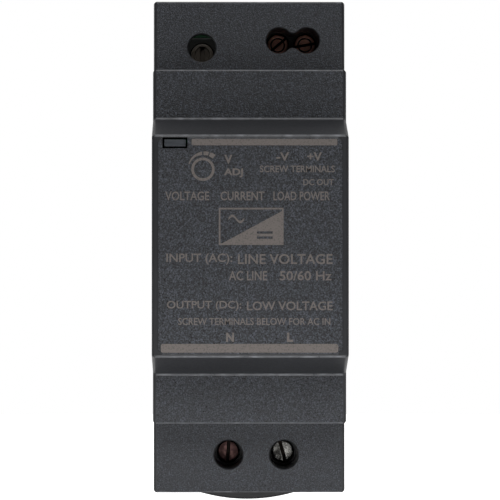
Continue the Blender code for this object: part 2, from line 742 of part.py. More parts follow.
def e_core(name, back_y, tip_y, ferrite, parent):
    """One E-shaped half of the transformer's core: a back plate and three legs."""
    half_x, half_z, outer_leg, centre_leg, plate = 12.7, 3.8, 3.4, 3.6, 3.2
    low_y, high_y = sorted((back_y, back_y + math.copysign(plate, tip_y - back_y)))
    leg_low, leg_high = sorted((back_y + math.copysign(plate / 2, tip_y - back_y), tip_y))
    spans = [(-half_x, -half_x + outer_leg), (-centre_leg, centre_leg), (half_x - outer_leg, half_x)]
    legs = [box((left, leg_low, -half_z), (right, leg_high, half_z)) for left, right in spans]
    back = box((-half_x, low_y, -half_z), (half_x, high_y, half_z))
    part(name, back, ferrite, adds=legs, parent=parent)


def transformer(ferrite, plastic, tape):
    centre = frame("transformer", (TRANSFORMER_X, 0, TRANSFORMER_Z))
    e_core("transformer_core_front", -36.4, -23.85, ferrite, centre)
    e_core("transformer_core_rear", -11.0, -23.55, ferrite, centre)
    tube = box((-5.0, -32.9, -5.1), (5.0, -14.5, 5.1))
    flanges = [box((-9.0, y, -9.2), (9.0, y + 1.0, 9.2)) for y in (-32.9, -15.5)]
    rails = [box((-9.0, -15.4, z), (9.0, SEAT_Y, z + 5.0)) for z in (-9.2, 4.2)]
    legs = pins(local_leads("transformer_bobbin", TRANSFORMER_X, TRANSFORMER_Z), SEAT_Y - 1)
    bore = box((-3.9, -34, -4.1), (3.9, -13, 4.1))
    adds = [*flanges, *rails, legs]
    part("transformer_bobbin", tube, plastic, adds=adds, cuts=[bore], parent=centre)
    coil = rounded(box((-8.7, -31.6, -8.9), (8.7, -15.8, 8.9)), 1.6, 2)
    core_hole = box((-5.3, -33, -5.4), (5.3, -14, 5.4))
    part("transformer_winding", coil, tape, cuts=[core_hole], parent=centre)


def trimmer(plastic, ivory):
    """The output voltage trimmer: a fixed body and the rotor that a screwdriver turns."""
    body = rounded(box((-3.4, -11.6, -3.4), (3.4, SEAT_Y, 3.4)), 0.3, 1)
    legs = pins(local_leads("trimmer_body", TRIMMER_X, TRIMMER_Z), SEAT_Y - 1)
    well = rod(0, 0, 2.4, -13, -9.8, 24)
    place = (TRIMMER_X, 0, TRIMMER_Z)
    part("trimmer_body", body, plastic, adds=[legs], cuts=[well], at=place)
    profile = [(0, -13.2), (1.7, -13.2), (2.1, -12.8), (2.1, -10.1), (0, -10.1)]
    slot = box((-0.4, -14, -3), (0.4, -12.2, 3))
    part("trimmer_rotor", lathe(profile), ivory, cuts=[slot], at=place)


def status_light(clear):
    """The light pipe behind the status window, and the lamp on the board that feeds it."""
    inset = 0.3
    left, right = WINDOW_X[0] + inset, WINDOW_X[1] - inset
    low, high = WINDOW_Z[0] + inset, WINDOW_Z[1] - inset
    part("light_pipe", box((left, NOSE_Y + 0.5, low), (right, -9.2, high)), clear)
    middle_x, middle_z = (left + right) / 2, (low + high) / 2
    part("status_led", box((-1.6, -8.8, -0.8), (1.6, SEAT_Y, 0.8)), clear, at=(middle_x, 0, middle_z))


def components(finishes):
    can("bulk_capacitor", 8.0, 28.5, finishes["sleeve"])
    can("output_capacitor_a", 5.0, 20.0, finishes["sleeve"])
    can("output_capacitor_b", 5.0, 20.0, finishes["sleeve"])
    block("x_capacitor", (1.6, -19.5, -32.0), (14.4, SEAT_Y, -26.0), finishes["yellow"])
    disc("y_capacitor", 4.0, 3.6, finishes["blue"])
    disc("inrush_thermistor", 4.0, 3.2, finishes["dark_epoxy"])
    block("input_fuse", (-15.0, -15.5, -33.6), (-7.6, SEAT_Y, -27.0), finishes["dark_epoxy"])
    epoxy = finishes["dark_epoxy"]
    block("bridge_rectifier", (2.7, -19.5, -23.5), (5.3, SEAT_Y - 1.0, -9.7), epoxy, SEAT_Y - 2)
    block("switching_transistor", (10.9, -27.5, -4.0), (13.4, -13.0, 6.0), epoxy, -14.0)
    block("output_diode", (10.9, -24.5, 19.0), (13.4, -12.0, 29.0), epoxy, -13.0)
    heat_sink("transistor_heat_sink", -7.0, 9.3, -30.0, finishes["aluminium"])
    heat_sink("diode_heat_sink", 17.0, 31.5, -27.0, finishes["aluminium"])
    block("optocoupler", (-11.2, -10.9, 27.1), (-6.0, SEAT_Y, 31.7), epoxy)
    part("controller_chip", box((-2.5, -9.1, -2.0), (2.5, SEAT_Y, 2.0)), epoxy, at=(5.5, 0, -7.4))
    output_inductor(finishes["ferrite"])
    line_choke(finishes["ferrite"], finishes["black"])
    transformer(finishes["ferrite"], finishes["black"], finishes["yellow"])
    trimmer(finishes["black"], finishes["ivory"])
    status_light(finishes["clear"])


def clear_scene():
    for existing in list(bpy.data.objects):
        bpy.data.objects.remove(existing)


def main():
    clear_scene()
    case_plastic = material("case_plastic", (0.045, 0.047, 0.052), 0.6)
    latch_plastic = material("latch_plastic", (0.035, 0.036, 0.04), 0.5)
    steel = material("steel", (0.55, 0.52, 0.48), 0.35, 1.0)
    copper = material("copper", (0.75, 0.45, 0.3), 0.35, 1.0)
    finishes = {
        "black": material("black_plastic", (0.02, 0.02, 0.022), 0.5),
        "dark_epoxy": material("dark_epoxy", (0.03, 0.03, 0.03), 0.6),
        "sleeve": material("capacitor_sleeve", (0.02, 0.025, 0.05), 0.35),
        "yellow": material("yellow_tape", (0.65, 0.45, 0.06), 0.5),
        "blue": material("blue_epoxy", (0.05, 0.15, 0.5), 0.4),
        "ivory": material("ivory_plastic", (0.6, 0.52, 0.42), 0.5),
        "ferrite": material("ferrite", (0.06, 0.06, 0.065), 0.7),
        "aluminium": material("aluminium", (0.7, 0.7, 0.72), 0.35, 1.0),
        "clear": material("clear_plastic", (0.12, 0.14, 0.13), 0.1),
    }
    front_housing(case_plastic)
    rear_base(case_plastic)
    rail_latch(latch_plastic)
    latch_spring(steel)
    main_board(material("laminate", (0.03, 0.16, 0.07), 0.5))
    terminals(finishes["black"], steel, copper)
    components(finishes)


main()
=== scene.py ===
"""The looks of a DIN rail power supply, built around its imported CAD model.

Frame: metres, +Z up, -Y towards the user, +X to the user's right. Lengths below are millimetres,
which the mesh helpers turn into metres.
"""

import math

import bmesh
import bpy
from mathutils import Matrix, Vector

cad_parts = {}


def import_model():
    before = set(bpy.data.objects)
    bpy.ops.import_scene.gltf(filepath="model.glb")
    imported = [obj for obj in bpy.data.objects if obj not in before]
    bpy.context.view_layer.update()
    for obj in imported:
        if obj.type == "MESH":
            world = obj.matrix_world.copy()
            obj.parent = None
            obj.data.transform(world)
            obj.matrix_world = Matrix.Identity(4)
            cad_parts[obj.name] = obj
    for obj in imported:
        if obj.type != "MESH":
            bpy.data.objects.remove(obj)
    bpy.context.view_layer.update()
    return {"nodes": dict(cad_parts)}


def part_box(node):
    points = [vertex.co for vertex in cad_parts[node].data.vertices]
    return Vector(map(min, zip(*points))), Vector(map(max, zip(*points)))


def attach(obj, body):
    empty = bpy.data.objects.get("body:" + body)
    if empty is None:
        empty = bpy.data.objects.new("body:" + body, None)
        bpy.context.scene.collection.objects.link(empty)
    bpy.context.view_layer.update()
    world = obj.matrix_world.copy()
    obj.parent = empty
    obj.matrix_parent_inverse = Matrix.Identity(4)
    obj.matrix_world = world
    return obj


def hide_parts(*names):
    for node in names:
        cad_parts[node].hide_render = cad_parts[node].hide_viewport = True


MM = 0.001

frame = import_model()


def span(node):
    """Lowest and highest corner of a CAD node, in millimetres."""
    low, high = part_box(node)
    return low / MM, high / MM


def centre_of(node):
    """The (x, z) centre line of a CAD node, in millimetres."""
    low, high = span(node)
    return (low.x + high.x) / 2, (low.z + high.z) / 2


# ------------------------------------------------------------ driving sizes

HOUSING_LOW, HOUSING_HIGH = span("front_housing")
HALF_WIDTH = HOUSING_HIGH.x
HALF_HEIGHT = HOUSING_HIGH.z
NOSE_Y = HOUSING_LOW.y
SPLIT_Y = HOUSING_HIGH.y
REAR_Y = span("rear_base")[1].y
SHOULDER_Y = NOSE_Y + 18.0
STEP_Y = NOSE_Y + 10.85
STEP_Z = 32.05
NOSE_BASE_Z = 23.05
NOSE_FACE_Z = 19.7
WALL = 1.8
SIDE_WALL = 1.7
INNER_X = HALF_WIDTH - SIDE_WALL
INNER_Z = HALF_HEIGHT - WALL
EDGE = 0.4  # rounding along the steps
SIDE_EDGE = 0.6  # rounding along both sides
ROOT_FILLET = 0.3  # in the inner corners of the steps
LIP = 0.18  # chamfer at the mouth of a hole
OVER = 1.0  # how far a cutter reaches past the face it opens

OUTPUT_POLES = [centre_of("output_screw_negative"), centre_of("output_screw_positive")]
INPUT_POLES = [centre_of("input_screw_neutral"), centre_of("input_screw_line")]
TRIMMER = centre_of("trimmer_rotor")
OUTPUT_HOLE = 4.7
INPUT_HOLE = 5.25
TRIMMER_HOLE = 5.1
SLEEVE_WALL = 1.0
SLEEVE_END_Y = -22.0
BRIDGE_HALF = 1.32  # half height of the waist between the two output holes

ENTRY_HALF_X = 2.2
ENTRY_Y = (-13.1, -8.5)
VENT_FIRST_X = -14.0
VENT_WIDTH = 1.5
VENT_PITCH = 3.0
VENT_Y = (-27.5, -11.0)
TAB_Z = 13.0
SNAP_WINDOW_Y = (-10.6, -8.0)
SNAP_WINDOW_HALF = 3.3
SNAP_TAB_HALF = 3.5
SNAP_TAB_X = (14.3, 15.5)
SNAP_TAB_Y = (-10.5, -1.0)
POST_X = 12.6
POST_RADIUS = 1.4
POST_TOP_Y = -5.3

FIELD_X = 16.35  # half width of the sunk, textured field of the front panel
FIELD_Z = (-19.1, 19.15)
FIELD_CHAMFER = 0.8
FIELD_DEPTH = 0.1
WINDOW_X = (-15.6, -11.15)
WINDOW_Z = (17.35, 19.3)
WINDOW_END_Y = STEP_Y + 0.65
DIAL = (-8.41, 13.63)
INK_TOP_Y = NOSE_Y + FIELD_DEPTH - 0.02
INK_DEPTH = 0.04

HEAD_TOP_Y = -20.0
HEAD_UNDER_Y = -18.3
HEAD_RADIUS = 1.95
HEAD_ROUND = 0.22
RING_RADII = (1.12, 1.4)
RING_DEPTH = 0.35
SLOT_DEPTH = 0.9
SHANK_RADIUS = 1.45
SHANK_TIP_Y = -13.3
THREAD_PITCH = 0.5
THREAD_DEPTH = 0.18
ROTOR_TOP_Y = -12.95
ROTOR_RIM_Y = -13.2
ROTOR_BOTTOM_Y = -10.1
ROTOR_RADIUS = 2.1

GAP = 0.3  # clearance between neighbouring pieces
RAIL_HALF = 17.5
SEAT_HALF = 15.7
CHANNEL_TOP = RAIL_HALF + 0.2
CHANNEL_BOTTOM = -RAIL_HALF - 0.4
HOOK_GAP = 1.35
HOOK_REACH = 1.5
HOOK_BACK_Y = REAR_Y - 0.6
SEAT_FLOOR_Y = -2.0  # inside of the base behind the rail seat
GUIDE_FLOOR_Y = -0.8  # inside of the base behind the latch guide
GUIDE_TOP_Z = -19.7
LATCH_LOW_Z = span("rail_latch")[0].z
LATCH_HALF_WIDTH = 8.9
LATCH_RIB_HALF_WIDTH = 7.1
LATCH_FLOOR_Y = 1.2
LATCH_LIP_Y = 3.8
FOOT_HALF_WIDTH = 11.0
FOOT_RADIUS = 32.5
LATCH_TRAVEL = 4.5
SPRING_TOP_Z = -26.0
SPRING_BOTTOM_Z = -38.5

LENS_LENGTH = 217.2
CAMERA_EYE = (-6.4, SHOULDER_Y - 553.0, -4.7)
CAMERA_AIM = (0.15, SHOULDER_Y, -0.56)
LEVEL = 0.30  # sine of the angle up to which the surround stays dim
STEEP = 0.80  # sine of the angle from which it is bright
SKY_LEVEL = 0.035
SKY = 0.9
FLOOR_Z = LATCH_LOW_Z - LATCH_TRAVEL - 0.1  # clear of the foot when the latch is pulled
FLOOR_RADIUS = 450
FLOOR_GLOW = 0.05  # as a light
FLOOR_SEEN = 0.75  # as seen by the camera
CARD_POWER = 0.015
KEY_POWER = 2.3
FILL_POWER = 1.6


# ------------------------------------------------------------- mesh helpers


def box(low, high):
    """A block between two corners."""
    low, high = Vector(low), Vector(high)
    bm = bmesh.new()
    matrix = Matrix.Translation((low + high) / 2 * MM) @ Matrix.Diagonal((*((high - low) * MM), 1))
    bmesh.ops.create_cube(bm, size=1, matrix=matrix)
    return bm


def loft(rings):
    """Rings of points joined one to the next, with a cap on the first and the last."""
    bm = bmesh.new()
    loops = [[bm.verts.new(Vector(point) * MM) for point in ring] for ring in rings]
    for low, high in zip(loops, loops[1:]):
        for i in range(len(low)):
            k = (i + 1) % len(low)
            bm.faces.new((low[i], low[k], high[k], high[i]))
    bm.faces.new(loops[0])
    bm.faces.new(loops[-1])
    bmesh.ops.recalc_face_normals(bm, faces=bm.faces)
    return bm


def place(axis, first, second, along):
    """A point from its place in an outline and its distance along the outline's axis."""
    return {"X": (along, first, second), "Y": (first, along, second), "Z": (first, second, along)}[axis]


def prism(outline, axis, start, end):
    """A flat outline extruded along an axis. Outline points are (y, z), (x, z) or (x, y)."""
    return loft([[place(axis, *point, along) for point in outline] for along in (start, end)])


def circle(x, z, radius, segments=64):
    turns = [2 * math.pi * i / segments for i in range(segments)]
    return [(x + radius * math.cos(t), z + radius * math.sin(t)) for t in turns]


def slab(a0, a1, b0, b1, radius, grow=0.0, steps=6):
    """The outline of a rectangle with round corners, grown outwards."""
    points = []
    for a, b, turn in ((a1, b1, 0), (a0, b1, 1), (a0, b0, 2), (a1, b0, 3)):
        middle_a = a - math.copysign(radius, a - (a0 + a1) / 2)
        middle_b = b - math.copysign(radius, b - (b0 + b1) / 2)
        for i in range(steps + 1):
            t = math.pi / 2 * (turn + i / steps)
            reach = radius + grow
            points.append((middle_a + reach * math.cos(t), middle_b + reach * math.sin(t)))
    return points


def rod(x, z, radius, start, end, segments=64):
    """A round rod along Y."""
    return prism(circle(x, z, radius, segments), "Y", start, end)


def lathe(profile, segments):
    """A shape turned about Y. Profile points are (radius, y)."""
    bm = bmesh.new()
    verts = [bm.verts.new(Vector((radius, y, 0)) * MM) for radius, y in profile]
    edges = [bm.edges.new(pair) for pair in zip(verts, verts[1:])]
    bmesh.ops.spin(
        bm, geom=verts + edges, cent=(0, 0, 0), axis=(0, 1, 0), angle=2 * math.pi, steps=segments
    )
    bmesh.ops.remove_doubles(bm, verts=bm.verts, dist=1e-6)
    bmesh.ops.recalc_face_normals(bm, faces=bm.faces)
    return bm


def together(*shapes):
    """Several shapes as one bmesh."""
    joined = bmesh.new()
    for shape in shapes:
        mesh = bpy.data.meshes.new("scratch")
        shape.to_mesh(mesh)
        shape.free()
        joined.from_mesh(mesh)
        bpy.data.meshes.remove(mesh)
    return joined


def as_object(name, shape):
    mesh = bpy.data.meshes.new(name)
    shape.to_mesh(mesh)
    shape.free()
    made = bpy.data.objects.new(name, mesh)
    bpy.context.scene.collection.objects.link(made)
    return made


def apply_modifiers(made):
    """Turns an object's modifiers into its mesh."""
    bpy.context.view_layer.update()
    graph = bpy.context.evaluated_depsgraph_get()
    mesh = bpy.data.meshes.new_from_object(made.evaluated_get(graph))
    made.modifiers.clear()
    made.data = mesh
    mesh.name = made.name


def combine(target, operation, shape):
    """Adds a shape to the object, or cuts it away."""
    tool = as_object("tool", shape)
    modifier = target.modifiers.new(operation, "BOOLEAN")
    modifier.operation = operation
    modifier.solver = "EXACT"
    modifier.use_self = True
    modifier.object = tool
    apply_modifiers(target)
    bpy.data.objects.remove(tool)


def smooth(made):
    """Smooth shading that keeps flat faces flat."""
    made.data.shade_smooth()
    made.data.set_sharp_from_angle(angle=math.radians(30))
    modifier = made.modifiers.new("flat faces stay flat", "WEIGHTED_NORMAL")
    modifier.keep_sharp = True
    modifier.weight = 90
    apply_modifiers(made)


def bevel_where(shape, test, width, segments):
    """Rounds the edges of a bmesh that pass a test."""
    edges = [edge for edge in shape.edges if test(edge)]
    bmesh.ops.bevel(shape, geom=edges, offset=width * MM, segments=segments, profile=0.5, affect="EDGES")


def bent(edge, degrees=20):
    """Whether two faces meet in an edge at more than an angle."""
    return len(edge.link_faces) == 2 and edge.calc_face_angle() > math.radians(degrees)


def set_materials(made, materials, choose=None):
    """Fills the material slots and, face by face, picks one by its centre and normal."""
    made.data.materials.clear()
    for material in materials:
        made.data.materials.append(material)
    if choose:
        for face in made.data.polygons:
            face.material_index = choose(face.center / MM, face.normal)


# ---------------------------------------------------------------- materials


def set_range(node, from_low, from_high, low, high):
    for name, number in (("From Min", from_low), ("From Max", from_high), ("To Min", low), ("To Max", high)):
        node.inputs[name].default_value = number


class Nodes:
    """A small wrapper that adds nodes and links them."""

    def __init__(self, name):
        self.material = bpy.data.materials.new(name)
        self.material.use_nodes = True
        self.tree = self.material.node_tree
        self.shader = self.tree.nodes["Principled BSDF"]
        place = self.add("ShaderNodeTexCoord")
        self.position = place.outputs["Object"]

    def add(self, kind, **settings):
        node = self.tree.nodes.new(kind)
        for name, value in settings.items():
            setattr(node, name, value)
        return node

    def link(self, output, node, name):
        self.tree.links.new(output, node.inputs[name])

    def noise(self, size_mm, detail=3.0, roughness=0.55, stretch=(1, 1, 1)):
        """Noise whose grain is about size_mm across."""
        mapping = self.add("ShaderNodeMapping")
        mapping.inputs["Scale"].default_value = stretch
        self.link(self.position, mapping, "Vector")
        noise = self.add("ShaderNodeTexNoise")
        noise.inputs["Scale"].default_value = 1 / (size_mm * MM)
        noise.inputs["Detail"].default_value = detail
        noise.inputs["Roughness"].default_value = roughness
        self.link(mapping.outputs["Vector"], noise, "Vector")
        return noise.outputs["Fac"]

    def ramp(self, value, stops):
        """A colour ramp; stops are (position, colour)."""
        ramp = self.add("ShaderNodeValToRGB")
        elements = ramp.color_ramp.elements
        while len(elements) < len(stops):
            elements.new(0.5)
        for element, (position, colour) in zip(elements, stops):
            element.position = position
            element.color = (*colour, 1)
        self.link(value, ramp, "Fac")
        return ramp.outputs["Color"]

    def range(self, value, from_low, from_high, low, high):
        """A value stretched from one range to another."""
        node = self.add("ShaderNodeMapRange")
        set_range(node, from_low, from_high, low, high)
        self.link(value, node, "Value")
        return node.outputs["Result"]

    def mix(self, factor, first, second):
        """A colour between first and second; both may be a colour or an output."""
        node = self.add("ShaderNodeMix", data_type="RGBA")
        self.link(factor, node, "Factor")
        for slot, value in ((6, first), (7, second)):
            if isinstance(value, tuple):
                node.inputs[slot].default_value = (*value, 1)
            else:
                self.tree.links.new(value, node.inputs[slot])
        return node.outputs[2]

    def bump(self, height, depth_mm):
        node = self.add("ShaderNodeBump")
        node.inputs["Distance"].default_value = depth_mm * MM
        node.inputs["Strength"].default_value = 1.0
        self.link(height, node, "Height")
        return node.outputs["Normal"]

    def finish(self, colour, roughness, normal=None, **fixed):
        """Feeds the shader and gives the material; colour and roughness may be plain values or outputs."""
        for name, value in (("Base Color", colour), ("Roughness", roughness), ("Normal", normal)):
            if value is None:
                continue
            if isinstance(value, tuple):
                self.shader.inputs[name].default_value = (*value, 1)
            elif isinstance(value, float):
                self.shader.inputs[name].default_value = value
            else:
                self.link(value, self.shader, name)
        for name, value in fixed.items():
            self.shader.inputs[name.replace("_", " ")].default_value = value
        return self.material


def plastic(name, colour, grain_mm, depth_mm, roughness, glint_contrast=0.0):
    """Moulded plastic: faint clouding over a grain. Its last argument sets a speckle of darker dips and much
    lighter peaks. The speckle is partly the grain's own uneven tone and partly painted glints and painted
    shade on the grain.
    """
    nodes = Nodes(name)
    grain = nodes.noise(grain_mm, 3.0, 0.6)
    cloud = nodes.noise(9.0, 2.0)
    dark = tuple(0.88 * c for c in colour)
    light = tuple(1.12 * c for c in colour)
    base = nodes.ramp(cloud, [(0.3, dark), (0.7, light)])
    # The speckle below paints glints on the grain's peaks and shade in its dips. It also gives the grain an
    # uneven tone.
    if glint_contrast:
        shade_dips = tuple(c * (1 - 0.6 * glint_contrast) for c in colour)
        glint_peaks = tuple(c * (1 + 2.2 * glint_contrast) for c in colour)
        speckle = nodes.noise(grain_mm, 1.0, 0.5)
        spots = nodes.ramp(speckle, [(0.34, shade_dips), (0.52, colour), (0.72, glint_peaks)])
        base = nodes.mix(nodes.range(cloud, 0.2, 0.8, 0.7, 1.0), base, spots)
    low, high = roughness
    rough = nodes.range(grain, 0.3, 0.7, low, high)
    return nodes.finish(base, rough, nodes.bump(grain, depth_mm))


def metal(name, colour, roughness, stained=0.55):
    """Plated metal with fine turning marks. stained is how light its stains are beside the clean metal."""
    nodes = Nodes(name)
    stain = nodes.noise(1.2, 4.0)
    marks = nodes.noise(0.25, 3.0, 0.6, (1.0, 0.2, 6.0))
    dark = tuple(stained * c for c in colour)
    base = nodes.ramp(stain, [(0.4, dark), (0.6, colour)])
    rough = nodes.range(marks, 0.3, 0.7, roughness, roughness + 0.25)
    return nodes.finish(base, rough, nodes.bump(marks, 0.01), Metallic=1.0)


def moulded(name, colour, roughness=0.5, grain_mm=0.4, depth_mm=0.01):
    """A plain component surface with slight unevenness."""
    return plastic(name, colour, grain_mm, depth_mm, (roughness - 0.08, roughness + 0.08))


def wound(name, light, dark):
    """Turns of wire or tape, seen as fine bands along the winding."""
    nodes = Nodes(name)
    wave = nodes.add("ShaderNodeTexWave", bands_direction="Y")
    wave.inputs["Scale"].default_value = 1 / (3.0 * MM)
    wave.inputs["Distortion"].default_value = 0.6
    nodes.link(nodes.position, wave, "Vector")
    bands = wave.outputs["Fac"]
    colour = nodes.mix(bands, dark, light)
    rough = nodes.range(nodes.noise(0.8), 0.3, 0.7, 0.3, 0.5)
    return nodes.finish(colour, rough, nodes.bump(bands, 0.08))


def laminate():
    """Green solder mask over faint copper tracks."""
    nodes = Nodes("board_laminate")
    brick = nodes.add("ShaderNodeTexBrick")
    brick.inputs["Scale"].default_value = 1 / (9 * MM)
    brick.inputs["Mortar Size"].default_value = 0.03
    brick.inputs["Mortar Smooth"].default_value = 0.2
    brick.inputs["Bias"].default_value = 0.1
    turn = nodes.add("ShaderNodeMapping")
    turn.inputs["Rotation"].default_value = (math.pi / 2, 0, 0)
    nodes.link(nodes.position, turn, "Vector")
    nodes.link(turn.outputs["Vector"], brick, "Vector")
    tracks = brick.outputs["Fac"]
    colour = nodes.mix(tracks, (0.012, 0.075, 0.032), (0.03, 0.14, 0.06))
    rough = nodes.range(nodes.noise(1.5), 0.3, 0.7, 0.25, 0.4)
    return nodes.finish(colour, rough, nodes.bump(tracks, 0.03))


def ink(name, colour):
    """Pad-printed ink, thin and a little broken over the grain below."""
    nodes = Nodes(name)
    patchy = nodes.noise(0.3, 3.0, 0.6)
    faint = tuple(0.6 * c for c in colour)
    base = nodes.ramp(patchy, [(0.32, faint), (0.5, colour)])
    rough = nodes.range(patchy, 0.3, 0.7, 0.5, 0.7)
    return nodes.finish(base, rough, nodes.bump(patchy, 0.01))


def clear_guide(name):
    """Clear light guide over a dark inside: polished, with faint flow marks."""
    nodes = Nodes(name)
    flow = nodes.noise(2.0, 2.0, 0.5, (0.3, 1.0, 2.0))
    base = nodes.ramp(flow, [(0.35, (0.03, 0.033, 0.037)), (0.65, (0.08, 0.087, 0.098))])
    rough = nodes.range(flow, 0.3, 0.7, 0.08, 0.2)
    return nodes.finish(base, rough, nodes.bump(flow, 0.01))


CHARCOAL = (0.0225, 0.0252, 0.0315)
# The case's strong speckle is partly uneven tone, partly painted glints and shade on its grain.
TEXTURED = plastic("case_textured", CHARCOAL, 0.22, 0.16, (0.26, 0.42), glint_contrast=1.3)
# A much lighter plastic for bands of the step roundings: painted highlights along the edges, with a light
# speckle of painted glints.
EDGE_HIGHLIGHT_PAINT = plastic("case_edge_painted_highlight", (0.105, 0.109, 0.118), 1.6, 0.02, (0.25, 0.4), glint_contrast=0.4)
SATIN = plastic("case_satin", (0.02, 0.021, 0.024), 0.5, 0.006, (0.36, 0.44))
LATCH_PLASTIC = plastic("latch_satin", (0.03, 0.031, 0.034), 0.5, 0.006, (0.34, 0.42))
INK = ink("legend_ink", (0.155, 0.136, 0.126))
LENS = clear_guide("window_lens")
# The rotor's ivory is darkened to paint in the shade it sits in at the bottom of its hole.
SHADED_IVORY = moulded("rotor_ivory_painted_shade", (0.17, 0.145, 0.115), 0.5)
COPPERED = metal("screw_coppered", (0.9, 0.5, 0.4), 0.4, stained=0.8)
BROWNED = metal("screw_browned", (0.15, 0.085, 0.08), 0.25, stained=0.35)
BRIGHT = metal("screw_bright", (0.27, 0.265, 0.25), 0.16, stained=0.12)
# A dark metal for the insides of the slots and rings: painted shade in the recesses.
RECESS_SHADE = metal("screw_recess_painted_shade", (0.05, 0.04, 0.035), 0.5)
SPRING_STEEL = metal("spring_wire", (0.55, 0.55, 0.56), 0.25)
LAMINATE = laminate()


# ------------------------------------------------------------ front housing


def stepped_outline(inset, rear_y):
    """The side view of the stepped front as (y, z) points, moved inwards by inset."""
    slope = (NOSE_BASE_Z - NOSE_FACE_Z) / (STEP_Y - NOSE_Y)
    nose_inset = inset * (math.hypot(1, slope) - slope)
    half = [
        (rear_y, HALF_HEIGHT - inset),
        (SHOULDER_Y + inset, HALF_HEIGHT - inset),
        (SHOULDER_Y + inset, STEP_Z - inset),
        (STEP_Y + inset, STEP_Z - inset),
        (STEP_Y + inset, NOSE_BASE_Z - nose_inset),
        (NOSE_Y + inset, NOSE_FACE_Z - nose_inset),
    ]
    return half + [(y, -z) for y, z in reversed(half)]


def along_x(edge):
    """Whether an edge runs across the case."""
    direction = edge.verts[1].co - edge.verts[0].co
    return abs(direction.x) > 0.9 * direction.length


def flared(outline, axis, mouth, inner, outward):
    """A cutter along an axis for a hole with a chamfered mouth. outline(grow) gives its points."""
    stations = [
        (mouth + outward, LIP),
        (mouth, LIP),
        (mouth - outward * LIP, 0.0),
        (inner, 0.0),
    ]
    return loft([[place(axis, *point, along) for point in outline(grow)] for along, grow in stations])


def joined_holes(grow, steps=20):
    """The outline of the two output holes and the waist between them, as (x, z) points.

    The waist is two arcs that touch both circles; their radius follows from the waist's height.
    """
    (left, z), (right, _) = OUTPUT_POLES
    half_pitch = (right - left) / 2
    middle = (left + right) / 2
    radius = OUTPUT_HOLE / 2
    waist_radius = (half_pitch**2 + BRIDGE_HALF**2 - radius**2) / (2 * (radius - BRIDGE_HALF))
    waist_z = BRIDGE_HALF + waist_radius
    touch = math.atan2(waist_z, half_pitch)  # direction from a hole's centre to the waist arc's
    points = []
    for side in (1, -1):
        for i in range(steps + 1):
            t = (math.pi - touch) * (2 * i / steps - 1)
            reach = radius + grow
            x = middle + side * (half_pitch + reach * math.cos(t))
            points.append((x, z + side * reach * math.sin(t)))
        spread = math.pi / 2 - touch
        for i in range(1, steps):
            t = spread - 2 * spread * i / steps
            reach = waist_radius - grow
            x = middle + side * reach * math.sin(t)
            points.append((x, z + side * (waist_z - reach * math.cos(t))))
    return points


def screw_sleeves():
    """Tubes behind the screw holes, which lead a screwdriver to the screw heads."""
    start = SHOULDER_Y + WALL / 2
    tubes = [rod(x, z, OUTPUT_HOLE / 2 + SLEEVE_WALL, start, SLEEVE_END_Y) for x, z in OUTPUT_POLES]
    tubes += [rod(x, z, INPUT_HOLE / 2 + SLEEVE_WALL, start, SLEEVE_END_Y) for x, z in INPUT_POLES]
    return tubes


def bore(centre, width, end):
    return flared(lambda grow: circle(*centre, width / 2 + grow), "Y", SHOULDER_Y, end, -1)


def screw_bores():
    """Cutters for the screw holes and the trimmer hole."""
    end = SLEEVE_END_Y + OVER
    screw_holes = [bore(centre, INPUT_HOLE, end) for centre in INPUT_POLES]
    trimmer_hole = bore(TRIMMER, TRIMMER_HOLE, SHOULDER_Y + WALL + OVER)
    return [flared(joined_holes, "Y", SHOULDER_Y, end, -1), *screw_holes, trimmer_hole]


def wall_hole(axis, side, sides, radius):
    """Cutter for a round-cornered hole through the top or bottom (Z) or a side (X)."""
    mouth, inner = {"X": (HALF_WIDTH, INNER_X), "Z": (HALF_HEIGHT, INNER_Z)}[axis]
    return flared(lambda grow: slab(*sides, radius, grow), axis, side * mouth, side * (inner - OVER), side)


def wire_entries():
    """Openings in the top and bottom faces, one for each wire."""
    cuts = []
    for centres, side in ((OUTPUT_POLES, 1), (INPUT_POLES, -1)):
        for x, _ in centres:
            sides = (x - ENTRY_HALF_X, x + ENTRY_HALF_X, *ENTRY_Y)
            cuts.append(wall_hole("Z", side, sides, 0.5))
    return cuts


def vent_slots():
    """Rows of round-ended slots in the top face and the bottom face, left of the wire entries."""
    cuts = []
    half = VENT_WIDTH / 2
    for side, count in ((1, 5), (-1, 2)):
        for i in range(count):
            x = VENT_FIRST_X + i * VENT_PITCH
            sides = (x - half, x + half, VENT_Y[0] - half, VENT_Y[1] + half)
            cuts.append(wall_hole("Z", side, sides, half))
    return cuts


def snap_windows():
    """Openings in the side walls that the base's snap tabs catch in."""
    cuts = []
    for side in (-1, 1):
        for z in (-TAB_Z, TAB_Z):
            sides = (*SNAP_WINDOW_Y, z - SNAP_WINDOW_HALF, z + SNAP_WINDOW_HALF)
            cuts.append(wall_hole("X", side, sides, 0.3))
    return cuts


def panel_field():
    """Cutter for the shallow field of the front panel, with chamfered corners and sloping sides."""
    low, high = FIELD_Z

    def outline(grow):
        x, z0, z1, c = FIELD_X + grow, low - grow, high + grow, FIELD_CHAMFER
        return [
            (x, z0 + c), (x, z1 - c), (x - c, z1), (c - x, z1),
            (-x, z1 - c), (-x, z0 + c), (c - x, z0), (x - c, z0),
        ]

    floor_y = NOSE_Y + FIELD_DEPTH
    stations = [(NOSE_Y - OVER, FIELD_DEPTH), (NOSE_Y, FIELD_DEPTH), (floor_y, 0.0)]
    return loft([[(x, y, z) for x, z in outline(grow)] for y, grow in stations])


def status_window():
    x0, x1 = WINDOW_X
    z0, z1 = WINDOW_Z
    return box((x0, NOSE_Y - OVER, z0), (x1, WINDOW_END_Y, z1))


